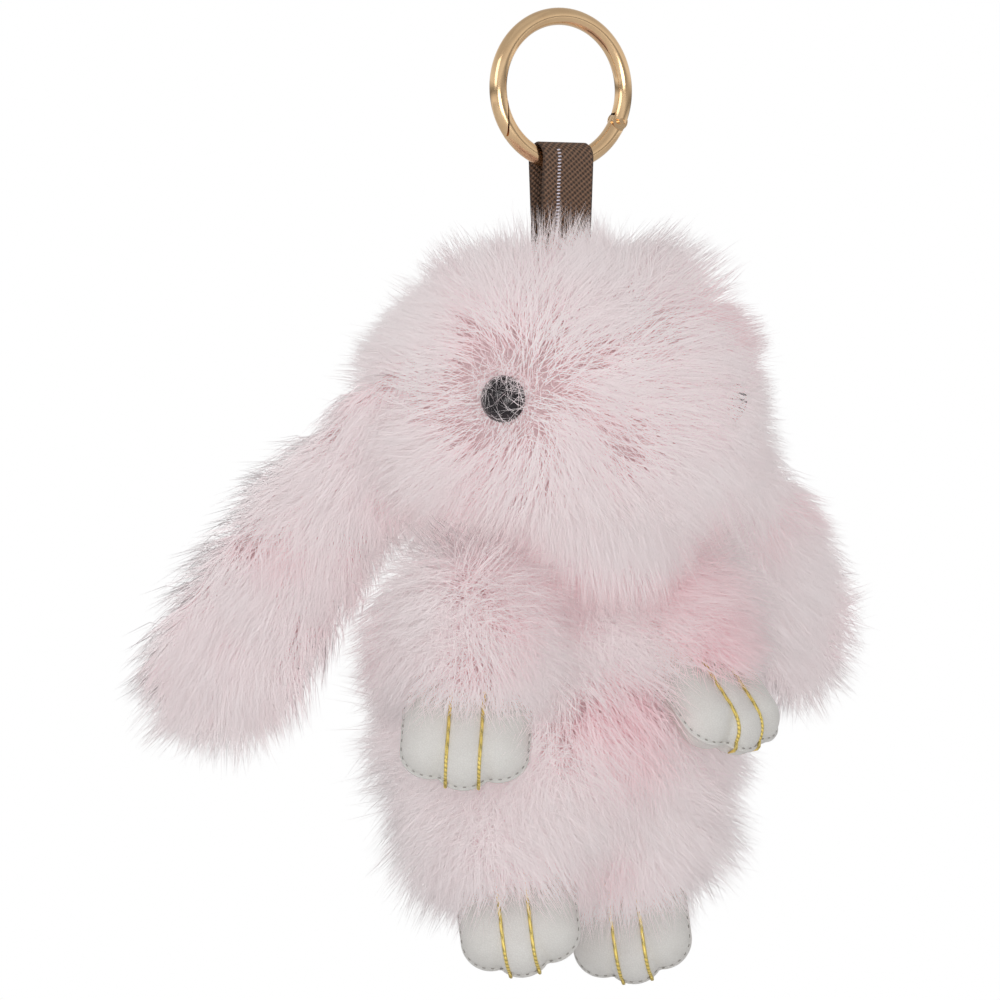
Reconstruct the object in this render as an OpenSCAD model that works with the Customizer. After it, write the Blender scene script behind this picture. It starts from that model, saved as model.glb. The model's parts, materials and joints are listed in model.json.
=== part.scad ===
// Plush rabbit keychain: a spring-gate key ring, a webbing strap and a stuffed fur rabbit.
// The rabbit faces -Y and hangs below the ring, whose centre is the origin.

/* [Ring] */
// Outside diameter of the key ring
ring_d = 28; // [26:0.5:30]
// Thickness of the ring's round wire
wire_d = 3; // [2.8:0.1:3.2]
// Where the gate's latch is, in degrees round the ring from +X towards +Z
latch_angle = 206; // [203:1:208]
// Where the gate's hinge pin is, in degrees round the ring
hinge_angle = 335; // [332:1:338]
// Diameter of the gate's hinge pin
pin_d = 1; // [0.8:0.1:1.2]

/* [Strap] */
// Width of the webbing
strap_w = 10; // [9:0.5:10.5]
// Thickness of one layer of webbing
strap_t = 0.6; // [0.5:0.1:0.8]

/* [Head] */
// Half width of the skull, fur skin included
skull_r = 29; // [28:0.5:30]
// Half height of the skull
skull_h = 22.5; // [22:0.5:23]
// Height of the skull's centre
skull_z = -53.7; // [-54.5:0.1:-53]
// Diameter of a safety eye's dome
eye_d = 8; // [7:0.5:9]
// Angle of each eye round the head, away from straight ahead
eye_angle = 50; // [46:1:54]

/* [Ears] */
// Length of an ear from its seam to the middle of its round end
ear_l = 57; // [48:1:60]
// Half width of an ear at its round end
ear_r = 10; // [8:0.5:11]

/* [Torso and limbs] */
// Radius of the chest
chest_r = 13; // [12:0.5:13.5]
// Radius of the belly
belly_r = 20; // [19:0.5:20.5]
// Radius of an arm's sleeve
arm_r = 8.5; // [8:0.5:9]
// Radius of a leg's sleeve
leg_r = 8; // [7.5:0.5:8.5]
// Thickness of the fur skin, with its packed pile
skin_t = 2.5; // [2:0.25:3]

/* [Paws] */
// Radius of a front paw's toe
hand_toe_r = 5; // [4.7:0.1:5.2]
// Distance between a front paw's toes
hand_pitch = 5.6; // [5.3:0.1:5.7]
// Radius of a hind paw's toe
foot_toe_r = 5; // [4.6:0.1:5.4]
// Distance between a hind paw's toes
foot_pitch = 5; // [4.6:0.1:5.2]
// Thickness of the paw leather
leather_t = 0.8; // [0.6:0.1:1]

/* [Hidden] */

wire_r = wire_d / 2;
ring_r = ring_d / 2 - wire_r;       // radius of the wire's centreline
run = 0.05;                         // running clearance of the pin
gap = 0.25;                         // gap at the latch
seam = 0.05;                        // gap between layers that touch
leg_back = 8;                       // how far a leg swings back, in degrees
leg_forward = 25;
room = 0.5;                         // room round a limb that moves
far = 100;                          // larger than any part that is cut

latch_reach = 22;                   // degrees of wire that the curved latch cut runs over
fork_w = 1.3;                       // width of the fork's slot
tongue_w = 1.1;                     // width of the gate's tongue
knuckle_r = wire_r - 0.02;          // radius of the rounded hinge ends
knuckle_gap = 0.25;
cheek_y = 0.95;                     // half width over the fork's two cheeks

spring_turns = 6;
spring_r = 0.4;                     // coil radius of the gate spring
spring_wire = 0.09;                 // radius of the spring's own wire
spring_l = 3;
spring_lean = 10;                   // keeps the straight seat inside the curved wire

// The loop turns about an axis through the middle of the wire that it encloses.
loop_top = -sqrt(pow(ring_r - wire_r, 2) - pow(strap_w / 2, 2));
loop_z = (loop_top - ring_d / 2) / 2;
loop_r = loop_top - loop_z + 0.1;
crown_z = skull_z + skull_h;
hem_r = strap_t * 2;                // the rolled hem that is sewn into the crown

snout = [0, -5, -61];               // middle of the snout's wide end
snout_tilt = -32;
snout_l = 12;
snout_r = [15, 11];
neck = [0, 3, -77];                 // middle of the neck
neck_r = 9.5;

eye_post_d = 2.4;
eye_post_l = 7;
washer_d = 9;
washer_t = 1.2;

ear_root_r = 3.5;
ear_ball_r = 4;
ear_fur_t = 2.4;
ear_lining_t = 0.9;
ear_knot_d = 2;
ear_site = 75;                      // angle of the ear seam round the head from straight ahead

torso_y = 2;
chest_z = -95;
belly_z = -108.5;
tail_at = [0, 27, -111];
tail_r = 7;

// Each limb: [seam point, [forward lean, spread, turn of the paw], sleeve radius, sleeve length]
arm_l = 14;
leg_l = 14;
right_arm = [[-20.5, -6, -91.5], [-24, 20, -36], arm_r, arm_l];
left_arm = [[15.2, -6, -89.4], [-40, -14, 18], arm_r, arm_l];
right_leg = [[-12, -1, -120.5], [-15, 1, -38], leg_r, leg_l];
left_leg = [[9.6, -1, -122], [-9, -4, -38], leg_r, leg_l];

// Each paw: [toe radius, distance between toes, length to the middle toe's tip ball]
hand = [hand_toe_r, hand_pitch, 27];
foot = [foot_toe_r, foot_pitch, 27];
paw_start = 9;                      // where the leather begins, below the seam point
side_toe_back = 1.8;                // how far the outer toes stay behind the middle one
flange = 1.1;                       // width of the sewn edge
flange_t = 0.5;                     // thickness of each leather layer of the edge
claw_r = 0.32;                      // radius of the gold thread

fur_pink = [0.95, 0.83, 0.85];
leather_white = [0.93, 0.92, 0.90];
brass_gold = [0.86, 0.70, 0.46];
gold_thread = [0.80, 0.64, 0.20];
webbing_brown = [0.33, 0.25, 0.19];
wadding_white = [0.95, 0.94, 0.92];

// Outline of two circles r1 and r2, the second one l below the first, with straight sides round them.
function loop_points(r1, r2, l, n = 12) =
    let (a = asin((r1 - r2) / l))
    concat(
        [for (i = [0:n]) let (t = 180 + a - i * (180 + 2 * a) / n) [r1 * cos(t), r1 * sin(t)]],
        [for (i = [0:n]) let (t = -a - i * (180 - 2 * a) / n) [r2 * cos(t), -l + r2 * sin(t)]]);

function on_ring(angle) = [ring_r * cos(angle), 0, ring_r * sin(angle)];

// A round bar with ball ends, from the origin down.
module capsule(r, l) {
    sphere(r, $fn = 48);
    translate([0, 0, -l]) cylinder(r = r, h = l, $fn = 48);
    translate([0, 0, -l]) sphere(r, $fn = 48);
}

module wire_arc(from, to) {
    rotate([90, 0, 0]) rotate([0, 0, from])
        rotate_extrude(angle = to - from, $fn = 96) translate([ring_r, 0]) circle(wire_r, $fn = 32);
}

// How far the latch is from the hinge pin: the gate's end swings on this radius.
latch_swing = norm(on_ring(latch_angle) - on_ring(hinge_angle));

// A round bar along Y through the hinge pin.
module about_pin(r, w) {
    translate(on_ring(hinge_angle)) rotate([90, 0, 0]) cylinder(r = r, h = w, center = true, $fn = 48);
}

module ring_frame() {
    color(brass_gold) difference() {
        union() {
            wire_arc(hinge_angle, 360 + latch_angle + latch_reach);
            about_pin(knuckle_r, 2 * cheek_y);
        }
        intersection() {
            translate(on_ring(latch_angle)) cube(12, center = true);
            about_pin(latch_swing + gap / 2, wire_d + 2);
        }
        about_pin(knuckle_r + knuckle_gap, fork_w);
        about_pin(pin_d / 2, wire_d + 1);
        spring_seat(0.25, 0.3);
    }
}

module ring_gate() {
    color(brass_gold) difference() {
        union() {
            wire_arc(latch_angle - latch_reach, hinge_angle);
            about_pin(knuckle_r - 0.03, tongue_w - 0.05);
        }
        difference() {
            translate(on_ring(latch_angle)) cube(12, center = true);
            about_pin(latch_swing - gap / 2, 20);
        }
        for (side = [-1, 1])
            translate([0, side * (wire_d + tongue_w) / 2, 0])
                about_pin(knuckle_r + knuckle_gap, wire_d);
        about_pin(pin_d / 2 + run, wire_d + 1);
    }
}

module gate_hinge_pin() {
    color(brass_gold) about_pin(pin_d / 2, 2 * sqrt(pow(wire_r, 2) - pow(pin_d / 2, 2)) - 0.05);
}

// The spring's seat runs along the wire from the fork's slot into the frame.
module spring_place() {
    translate(on_ring(hinge_angle)) rotate([0, -hinge_angle - spring_lean, 0])
        translate([0, 0, knuckle_r + knuckle_gap]) children();
}

module spring_seat(side, deep) {
    spring_place() translate([0, 0, -1]) cylinder(r = spring_r + side, h = 1 + spring_l + deep, $fn = 24);
}

function helix(t) = [spring_r * cos(360 * t), spring_r * sin(360 * t), spring_l * t / spring_turns];

module gate_spring() {
    steps = spring_turns * 12;
    sides = 6;
    rings = [for (i = [0:steps]) let (a = 360 * i / 12, c = helix(i / 12))
        [for (k = [0:sides - 1]) let (b = 360 * k / sides)
            c + spring_wire * [cos(b) * cos(a), cos(b) * sin(a), sin(b)]]];
    flat = [for (ring = rings) each ring];
    walls = [for (i = [0:steps - 1], k = [0:sides - 1]) let (n = (k + 1) % sides)
        [i * sides + k, i * sides + n, (i + 1) * sides + n, (i + 1) * sides + k]];
    ends = [[for (k = [sides - 1:-1:0]) k], [for (k = [0:sides - 1]) steps * sides + k]];
    color("silver") spring_place() translate([0, 0, spring_wire])
        polyhedron(flat, concat(walls, ends));
}

// A flat outline in the YZ plane, given width along X.
module across(w) {
    rotate([90, 0, 90]) translate([0, 0, -w / 2]) linear_extrude(w) children();
}

module strap_webbing() {
    color(webbing_brown) difference() {
        translate([0, 0, loop_z]) across(strap_w)
            polygon(loop_points(loop_r + strap_t, hem_r, loop_z - crown_z));
        translate([0, 0, loop_z]) across(strap_w + 1)
            polygon(loop_points(loop_r, 0.2, loop_z - crown_z - 2.5));
    }
}

module strap_stitching() {
    stitches = 12;
    first = loop_z - 1;
    pitch = (first - crown_z - 1.5) / stitches;
    lean = atan((loop_r + strap_t - hem_r) / (loop_z - crown_z));
    color("lavender") for (i = [0:stitches - 1])
        translate([-0.7, 0, loop_z]) rotate([lean, 0, 0])
            translate([0, -loop_r - strap_t - 0.16, first - loop_z - pitch * (i + 0.5)])
                cylinder(r = 0.14, h = pitch * 0.7, center = true, $fn = 16);
}

module skull(inset) {
    step = skull_r - skull_h;
    translate([0, 0, skull_z]) rotate_extrude($fn = 64) {
        intersection() {
            translate([step, 0]) circle(skull_h - inset, $fn = 64);
            translate([step, -far / 2]) square(far);
        }
        translate([0, inset - skull_h]) square([step, 2 * (skull_h - inset)]);
    }
    translate(snout) rotate([snout_tilt, 0, 0]) for (i = [0:2])
        translate([0, 0, -snout_l * i / 2])
            sphere(snout_r[0] + (snout_r[1] - snout_r[0]) * i / 2 - inset, $fn = 48);
}

module eye_place(side) {
    translate([0, 0, skull_z]) rotate([0, 0, side * eye_angle]) rotate([90, 0, 0])
        translate([0, 0, skull_r]) children();
}

module safety_eye() {
    dome_rise = 3;
    ball_r = (pow(eye_d / 2, 2) + pow(dome_rise, 2)) / (2 * dome_rise);
    translate([0, 0, 0.3]) {
        intersection() {
            translate([0, 0, dome_rise - ball_r]) sphere(ball_r, $fn = 64);
            cylinder(d = eye_d, h = dome_rise + 1, $fn = 64);
        }
        translate([0, 0, -eye_post_l]) cylinder(d = eye_post_d, h = eye_post_l + 0.5, $fn = 32);
    }
}

module eye_washer() {
    translate([0, 0, -skin_t - washer_t - 1.6]) difference() {
        cylinder(d = washer_d, h = washer_t, $fn = 48);
        translate([0, 0, -1]) cylinder(d = eye_post_d, h = washer_t + 2, $fn = 32);
    }
}

// What the eye, its post and its washer need inside the head.
module eye_room() {
    translate([0, 0, -eye_post_l]) cylinder(d = eye_post_d, h = eye_post_l + 2, $fn = 32);
    cylinder(d = eye_d + 0.1, h = 4, $fn = 64);
    translate([0, 0, 0.3 - 1]) cylinder(d = eye_d + 0.1, h = 2, $fn = 64);
}

module washer_room() {
    translate([0, 0, -eye_post_l - 0.2]) cylinder(d = washer_d + 0.2, h = eye_post_l - skin_t + 1.7, $fn = 48);
}

function ear_seam(side) = [side * (skull_r - 0.5) * sin(ear_site), -(skull_r - 0.5) * cos(ear_site) + 14, skull_z + 2];

// The left ear stands further out than the right one.
module ear_place(side) {
    translate(ear_seam(side)) rotate(side < 0 ? [23.6, 24, 0] : [19, -39.6, 0])
        rotate([0, 0, side * 14.5]) children();
}

module ear_blade(t) {
    rotate([90, 0, 0]) linear_extrude(t) polygon(loop_points(ear_root_r, ear_r, ear_l));
}

module ear_fur(side) {
    ear_place(side) {
        translate([0, -seam, 0]) ear_blade(ear_fur_t);
        difference() {
            sphere(ear_ball_r, $fn = 48);
            translate([-far / 2, -seam, -far / 2]) cube(far);
        }
    }
}

module ear_lining(side) {
    ear_place(side) translate([0, ear_lining_t, 0]) ear_blade(ear_lining_t);
}

// The hollow in the head that the ear's seam turns in.
module ear_hollow(side) {
    translate(ear_seam(side)) sphere(ear_ball_r + 1.2, $fn = 48);
    ear_place(side) translate([0, 0, -8]) sphere(8, $fn = 48);
}

module head_hollows() {
    for (side = [-1, 1]) ear_hollow(side);
    translate(neck) sphere(neck_r + 0.4, $fn = 48);
    translate([0, 0, crown_z]) rotate([0, 90, 0])
        cylinder(r = hem_r + 0.45, h = strap_w + 1, center = true, $fn = 32);
}

module head_fur_skin() {
    color(fur_pink) difference() {
        skull(0);
        skull(skin_t);
        head_hollows();
        for (side = [-1, 1]) eye_place(side) eye_room();
    }
}

module head_stuffing() {
    color(wadding_white) difference() {
        skull(skin_t + seam);
        head_hollows();
        for (side = [-1, 1]) eye_place(side) washer_room();
    }
}

module torso(inset) {
    translate([0, torso_y, chest_z]) sphere(chest_r - inset, $fn = 48);
    translate([0, torso_y, belly_z]) sphere(belly_r - inset, $fn = 64);
    translate(neck) sphere(neck_r - inset, $fn = 48);
}

module limb_place(limb) {
    translate(limb[0]) rotate([limb[1][0], limb[1][1], 0]) rotate([0, 0, limb[1][2]]) children();
}

// The space that an arm turns through, cut out of the torso.
module arm_sweep(limb) {
    limb_place(limb) {
        capsule(limb[2] + room, limb[3] + 8);
        for (s = [-11, -19]) translate([0, 0, s]) sphere(s == -11 ? 12.4 : 13.4, $fn = 48);
    }
}

// The space that a leg turns through, at rest and at each end of its travel.
module leg_sweep(limb) {
    limb_place(limb) capsule(limb[2] + room, limb[3] + 4);
    for (turn = [-leg_back, leg_forward])
        translate(limb[0]) rotate([-turn, 0, 0]) translate(-limb[0])
            limb_place(limb) capsule(limb[2] + room + (turn < 0 ? 0.1 : 0.2), limb[3] + 4);
}

module torso_hollows() {
    arm_sweep(right_arm);
    arm_sweep(left_arm);
    leg_sweep(right_leg);
    leg_sweep(left_leg);
    translate(tail_at) sphere(tail_r, $fn = 48);
}

module torso_fur_skin() {
    color(fur_pink) difference() {
        torso(0);
        torso(skin_t);
        torso_hollows();
    }
}

module torso_stuffing() {
    color(wadding_white) difference() {
        union() {
            translate([0, torso_y, chest_z]) sphere(chest_r - skin_t - seam, $fn = 48);
            translate([0, torso_y, belly_z]) sphere(belly_r - skin_t - seam, $fn = 64);
        }
        for (limb = [right_arm, left_arm, right_leg, left_leg])
            translate(limb[0]) sphere(limb[2] + 3, $fn = 48);
        for (limb = [right_arm, left_arm])
            limb_place(limb) translate([0, 0, -14]) sphere(13.8, $fn = 48);
        translate(tail_at) sphere(tail_r + 0.3, $fn = 48);
    }
}

module tail_fur() {
    color(fur_pink) difference() {
        translate(tail_at) sphere(tail_r, $fn = 48);
        translate(tail_at) sphere(tail_r - skin_t, $fn = 48);
        translate(tail_at) rotate([90, 0, 0]) cylinder(r = 1.5, h = tail_r + 1, $fn = 24);
    }
}

module tail_core() {
    color(wadding_white) translate(tail_at) sphere(tail_r - skin_t - seam, $fn = 48);
}

// The three toes of a paw, side by side.
module toes(paw, inset) {
    for (k = [-1:1])
        translate([k * paw[1], 0, -paw_start])
            difference() {
                reach = paw[2] - paw_start - abs(k) * side_toe_back;
                union() {
                    translate([0, 0, -reach]) cylinder(r = paw[0] - inset, h = reach, $fn = 40);
                    translate([0, 0, -reach]) sphere(paw[0] - inset, $fn = 40);
                }
            }
}

// The flat edge round the paw, where its two leathers are sewn together.
module paw_outline(paw, grow) {
    for (k = [-1:1])
        let (reach = paw[2] - abs(k) * side_toe_back) {
            translate([k * paw[1], -reach]) circle(paw[0] + grow, $fn = 40);
            translate([k * paw[1] - paw[0] - grow, -reach]) square([2 * (paw[0] + grow), reach - paw_start]);
        }
}

module paw_shell(paw) {
    difference() {
        union() {
            toes(paw, 0);
            rotate([90, 0, 0]) linear_extrude(2 * flange_t, center = true) paw_outline(paw, flange);
        }
        translate([0, 0, 0.5]) toes(paw, leather_t);
    }
}

module paw_top(limb, paw) {
    color(leather_white) limb_place(limb) difference() {
        paw_shell(paw);
        translate([-far / 2, -seam / 2, -far / 2]) cube(far);
        sleeve_room(limb);
    }
}

module paw_sole(limb, paw) {
    color(leather_white) limb_place(limb) difference() {
        paw_shell(paw);
        translate([-far / 2, seam / 2 - far, -far / 2]) cube(far);
        sleeve_room(limb);
    }
}

module paw_stuffing(limb, paw) {
    color(wadding_white) limb_place(limb) difference() {
        translate([0, 0, 0.5]) toes(paw, leather_t + seam);
        sleeve_room(limb);
    }
}

// The sleeve ends in a round end that the paw is sewn onto.
module sleeve_room(limb) {
    capsule(limb[2] + seam, limb[3] - limb[2] * 0.5);
}

module sleeve(limb) {
    color(fur_pink) limb_place(limb) difference() {
        capsule(limb[2], limb[3] - limb[2] * 0.5);
        capsule(limb[2] - skin_t, limb[3] - limb[2] * 0.5);
        rotate([0, 0, 90]) cylinder(r = 2, h = limb[2] + 1, $fn = 24);
    }
}

module sleeve_stuffing(limb) {
    color(wadding_white) limb_place(limb)
        capsule(limb[2] - skin_t - seam, limb[3] - limb[2] * 0.5);
}

// Gold thread down each groove between two toes, over the tip to the sole.
module claw_threads(limb, paw) {
    groove = sqrt(pow(paw[0] + claw_r + 0.06, 2) - pow(paw[1] / 2, 2));
    tip = paw[2] + 0.05;
    top = limb[3] + limb[2] * 0.5 + 1;
    color(gold_thread) limb_place(limb) for (k = [-0.5, 0.5]) translate([k * paw[1], 0, 0]) {
        translate([0, -groove, -tip]) cylinder(r = claw_r, h = tip - top, $fn = 16);
        translate([0, 0, -tip]) rotate([90, 180, 90]) rotate_extrude(angle = 75, $fn = 64)
            translate([groove, 0]) circle(claw_r, $fn = 16);
    }
}

// Thread that shows on the sewn edge: short bars round the tips of the outer toes.
module paw_stitches(limb, paw) {
    color("dimgray") limb_place(limb)
        for (side = [-1, 1], i = [0:8])
            let (reach = paw[2] - side_toe_back, a = -10 + i * 10)
                translate([side * paw[1], -flange_t - 0.16, -reach])
                    rotate([0, side * a, 0]) translate([side * (paw[0] + flange * 0.62), 0, 0])
                        cylinder(r = 0.13, h = 0.7, center = true, $fn = 12);
}

ring_frame();
ring_gate();
gate_hinge_pin();
gate_spring();
strap_webbing();
strap_stitching();
head_fur_skin();
head_stuffing();
color("black") eye_place(-1) safety_eye();  // right_eye
color("white") eye_place(-1) eye_washer();  // right_eye_washer
color("black") eye_place(1) safety_eye();  // left_eye
color("white") eye_place(1) eye_washer();  // left_eye_washer
color(fur_pink) ear_fur(-1);  // right_ear_fur
color("linen") ear_lining(-1);  // right_ear_lining
color(fur_pink) ear_fur(1);  // left_ear_fur
color("linen") ear_lining(1);  // left_ear_lining
torso_fur_skin();
torso_stuffing();
tail_fur();
tail_core();
sleeve(right_arm);  // right_arm_fur
sleeve_stuffing(right_arm);  // right_arm_stuffing
paw_top(right_arm, hand);  // right_hand_top
paw_sole(right_arm, hand);  // right_hand_sole
paw_stuffing(right_arm, hand);  // right_hand_stuffing
claw_threads(right_arm, hand);  // right_hand_claw_threads
paw_stitches(right_arm, hand);  // right_hand_stitches
sleeve(left_arm);  // left_arm_fur
sleeve_stuffing(left_arm);  // left_arm_stuffing
paw_top(left_arm, hand);  // left_hand_top
paw_sole(left_arm, hand);  // left_hand_sole
paw_stuffing(left_arm, hand);  // left_hand_stuffing
claw_threads(left_arm, hand);  // left_hand_claw_threads
paw_stitches(left_arm, hand);  // left_hand_stitches
sleeve(right_leg);  // right_leg_fur
sleeve_stuffing(right_leg);  // right_leg_stuffing
paw_top(right_leg, foot);  // right_foot_top
paw_sole(right_leg, foot);  // right_foot_sole
paw_stuffing(right_leg, foot);  // right_foot_stuffing
claw_threads(right_leg, foot);  // right_foot_claw_threads
paw_stitches(right_leg, foot);  // right_foot_stitches
sleeve(left_leg);  // left_leg_fur
sleeve_stuffing(left_leg);  // left_leg_stuffing
paw_top(left_leg, foot);  // left_foot_top
paw_sole(left_leg, foot);  // left_foot_sole
paw_stuffing(left_leg, foot);  // left_foot_stuffing
claw_threads(left_leg, foot);  // left_foot_claw_threads
paw_stitches(left_leg, foot);  // left_foot_stitches
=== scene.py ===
import json
import bpy
import numpy as np
from mathutils import Matrix


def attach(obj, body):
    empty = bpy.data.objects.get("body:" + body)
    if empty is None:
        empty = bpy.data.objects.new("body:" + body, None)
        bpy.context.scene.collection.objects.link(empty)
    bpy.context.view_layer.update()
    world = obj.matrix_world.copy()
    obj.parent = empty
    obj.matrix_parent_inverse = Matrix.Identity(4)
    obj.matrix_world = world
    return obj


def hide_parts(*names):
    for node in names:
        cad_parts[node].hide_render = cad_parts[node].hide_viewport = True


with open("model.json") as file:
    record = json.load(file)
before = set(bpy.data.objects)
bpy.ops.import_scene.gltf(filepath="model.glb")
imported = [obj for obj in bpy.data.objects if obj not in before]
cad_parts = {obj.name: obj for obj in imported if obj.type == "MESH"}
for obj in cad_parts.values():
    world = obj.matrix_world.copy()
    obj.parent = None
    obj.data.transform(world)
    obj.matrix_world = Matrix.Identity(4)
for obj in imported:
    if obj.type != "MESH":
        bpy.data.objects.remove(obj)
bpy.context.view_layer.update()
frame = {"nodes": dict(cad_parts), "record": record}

nodes = frame["nodes"]
mm = 0.001
fullTurn = 6.2832      # one cycle of a sine, in radians


def unit(a):
    return a / np.maximum(np.linalg.norm(a, axis=-1, keepdims=True), 1e-9)


def smooth(a, low, high):
    t = np.clip((a - low) / (high - low), 0, 1)
    return t * t * (3 - 2 * t)


# turns about X, then Y, after a turn about Z, and then moves to seam: how the limbs are placed
def limbFrame(seam, lean, spread, turn):
    x, y, z = np.radians([lean, spread, turn])
    aboutX = np.array([[1, 0, 0], [0, np.cos(x), -np.sin(x)], [0, np.sin(x), np.cos(x)]])
    aboutY = np.array([[np.cos(y), 0, np.sin(y)], [0, 1, 0], [-np.sin(y), 0, np.cos(y)]])
    aboutZ = np.array([[np.cos(z), -np.sin(z), 0], [np.sin(z), np.cos(z), 0], [0, 0, 1]])
    return aboutY @ aboutX @ aboutZ, np.array(seam, float)


def toWorld(place, points):
    turn, seam = place
    return points @ turn.T + seam


# a smooth value along a row of keys at s from 0 to 1: Catmull-Rom cubics between them
def along(keys, s):
    keys = np.asarray(keys, float)
    count = len(keys) - 1
    at = np.clip(s, 0, 1) * count
    i = np.minimum(at.astype(int), count - 1)
    t = (at - i)[..., None]
    flat = keys.reshape(count + 1, -1)
    before = flat[np.maximum(i - 1, 0)]
    after = flat[np.minimum(i + 2, count)]
    a, b = flat[i], flat[i + 1]
    value = 0.5 * (2 * a + (b - before) * t + (2 * before - 5 * a + 4 * b - after) * t ** 2
                   + (3 * a - before - 3 * b + after) * t ** 3)
    return value.reshape(np.shape(s) + keys.shape[1:])


# slow wavy noise over space, a sum of sines with seeded directions
def wavy(points, size, seed, count=7):
    dice = np.random.default_rng(seed)
    waves = unit(dice.normal(size=(count, 3))) * (2 * np.pi / size) * dice.uniform(0.6, 1.6, (count, 1))
    phase = dice.uniform(0, 2 * np.pi, (count, 3))
    angle = (points @ waves.T)[..., None] + phase
    return np.sin(angle).sum(-2) / np.sqrt(count)


# a mesh from whole arrays; points are in millimetres
def makeMesh(name, points, faces, uvs=None, normals=None):
    faces = np.asarray(faces)
    mesh = bpy.data.meshes.new(name)
    mesh.vertices.add(len(points))
    mesh.vertices.foreach_set("co", np.asarray(points, np.float32).ravel() * mm)
    mesh.loops.add(faces.size)
    mesh.loops.foreach_set("vertex_index", faces.astype(np.int32).ravel())
    mesh.polygons.add(len(faces))
    mesh.polygons.foreach_set("loop_start", np.arange(0, faces.size, faces.shape[1], dtype=np.int32))
    mesh.polygons.foreach_set("use_smooth", np.full(len(faces), True))
    if uvs is not None:
        layer = mesh.uv_layers.new(name="OFBake")
        layer.data.foreach_set("uv", np.asarray(uvs, np.float32).ravel())
    mesh.update(calc_edges=True)
    if normals is not None:
        mesh.normals_split_custom_set_from_vertices(normals.tolist())
    piece = bpy.data.objects.new(name, mesh)
    bpy.context.scene.collection.objects.link(piece)
    return piece


def dress(piece, material, body):
    piece.data.materials.append(material)
    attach(piece, body)
    return piece


# faces of a grid of rows x columns points that closes round its columns
def ringFaces(rows, columns):
    i, j = np.meshgrid(np.arange(rows - 1), np.arange(columns), indexing="ij")
    k = (j + 1) % columns
    quads = np.stack([i * columns + j, i * columns + k, (i + 1) * columns + k, (i + 1) * columns + j], -1)
    return quads.reshape(-1, 4)


# the same faces, all turned over if most of them face towards centre
def facedOut(points, faces, centre):
    a, b, c = (points[faces[:, k]] for k in range(3))
    inward = (np.cross(b - a, c - a) * (a - centre)).sum() < 0
    return faces[:, ::-1] if inward else faces


# triangles over rows of points, closed by a fan to a pole at each end
def closedFaces(down, across, flip=False):
    quads = ringFaces(down, across)
    order = [0, 2, 1, 0, 3, 2] if flip else [0, 1, 2, 0, 2, 3]
    j = np.arange(across)
    k = (j + 1) % across
    if flip:
        j, k = k, j
    top = np.full(across, down * across)
    last = (down - 1) * across
    return np.concatenate([quads[:, order[:3]], quads[:, order[3:]],
                           np.stack([k, j, top], -1), np.stack([last + j, last + k, top + 1], -1)])


# a closed skin over rows of points between two poles
def closedSkin(name, rows, poles, middle=None):
    points = np.concatenate([rows.reshape(-1, 3), poles])
    centre = points.mean(0) if middle is None else middle
    return makeMesh(name, points, facedOut(points, closedFaces(*rows.shape[:2]), centre))


# the skin of surface(u, v), u round it from 0 to 1 and v from pole to pole
def skinMesh(name, surface, across=96, down=64):
    u, v = np.meshgrid(np.arange(across) / across, (np.arange(down) + 0.5) / down)
    return closedSkin(name, surface(u, v), surface(np.zeros(2), np.array([0.0, 1.0])))


# a round thread: P(s) + r (cos a N + sin a B) along a path, thinner at its ends and closed by poles
def threadMesh(name, path, radius, sides=8):
    path = np.asarray(path, float)
    count = len(path)
    way = unit(np.gradient(path, axis=0))
    side = unit(np.cross(way, [0.31, 0.12, 0.95]))
    up = np.cross(way, side)
    angle = np.arange(sides) * 2 * np.pi / sides
    ring = np.cos(angle)[None, :, None] * side[:, None] + np.sin(angle)[None, :, None] * up[:, None]
    thickness = np.full(count, float(radius))
    thickness[[0, -1]] *= 0.5
    rows = path[:, None] + ring * thickness[:, None, None]
    points = np.concatenate([rows.reshape(-1, 3), path[:1], path[-1:]])
    tris = closedFaces(count, sides, True)
    tris = facedOut(points, tris, path[np.minimum(tris[:, 0] // sides, count - 1)])
    spot = np.arange(count * sides)
    step = np.append(spot // sides, [0, count - 1]) / (count - 1)
    turn = np.append(spot % sides / sides, [0.5, 0.5])
    return makeMesh(name, points, tris, np.stack([turn[tris.ravel()], step[tris.ravel()]], -1))


# many short stitches: each is a six-sided spindle between its two ends
def stitchMesh(name, starts, ends, radius):
    starts, ends = np.asarray(starts, float), np.asarray(ends, float)
    way = unit(ends - starts)
    side = unit(np.cross(way, [0.37, 0.22, 0.9]))
    up = np.cross(way, side)
    angle = np.arange(6) * np.pi / 3
    ring = np.cos(angle)[None, :, None] * side[:, None] + np.sin(angle)[None, :, None] * up[:, None]
    parts = [starts[:, None]]
    for t, swell in ((0.12, 0.75), (0.5, 1.0), (0.88, 0.75)):
        centre = starts + (ends - starts) * t
        parts.append(centre[:, None] + ring * radius * swell)
    parts.append(ends[:, None])
    points = np.concatenate(parts, 1)
    j = np.arange(6)
    k = (j + 1) % 6
    tris = [np.stack([0 * j, 1 + k, 1 + j], -1), np.stack([19 + 0 * j, 13 + j, 13 + k], -1)]
    for row in (1, 7):
        tris.append(np.stack([row + j, row + k, row + 6 + k], -1))
        tris.append(np.stack([row + j, row + 6 + k, row + 6 + j], -1))
    tris = np.concatenate(tris)
    everything = (tris[None] + np.arange(len(starts))[:, None, None] * 20).reshape(-1, 3)
    return makeMesh(name, points.reshape(-1, 3), everything)


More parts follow.
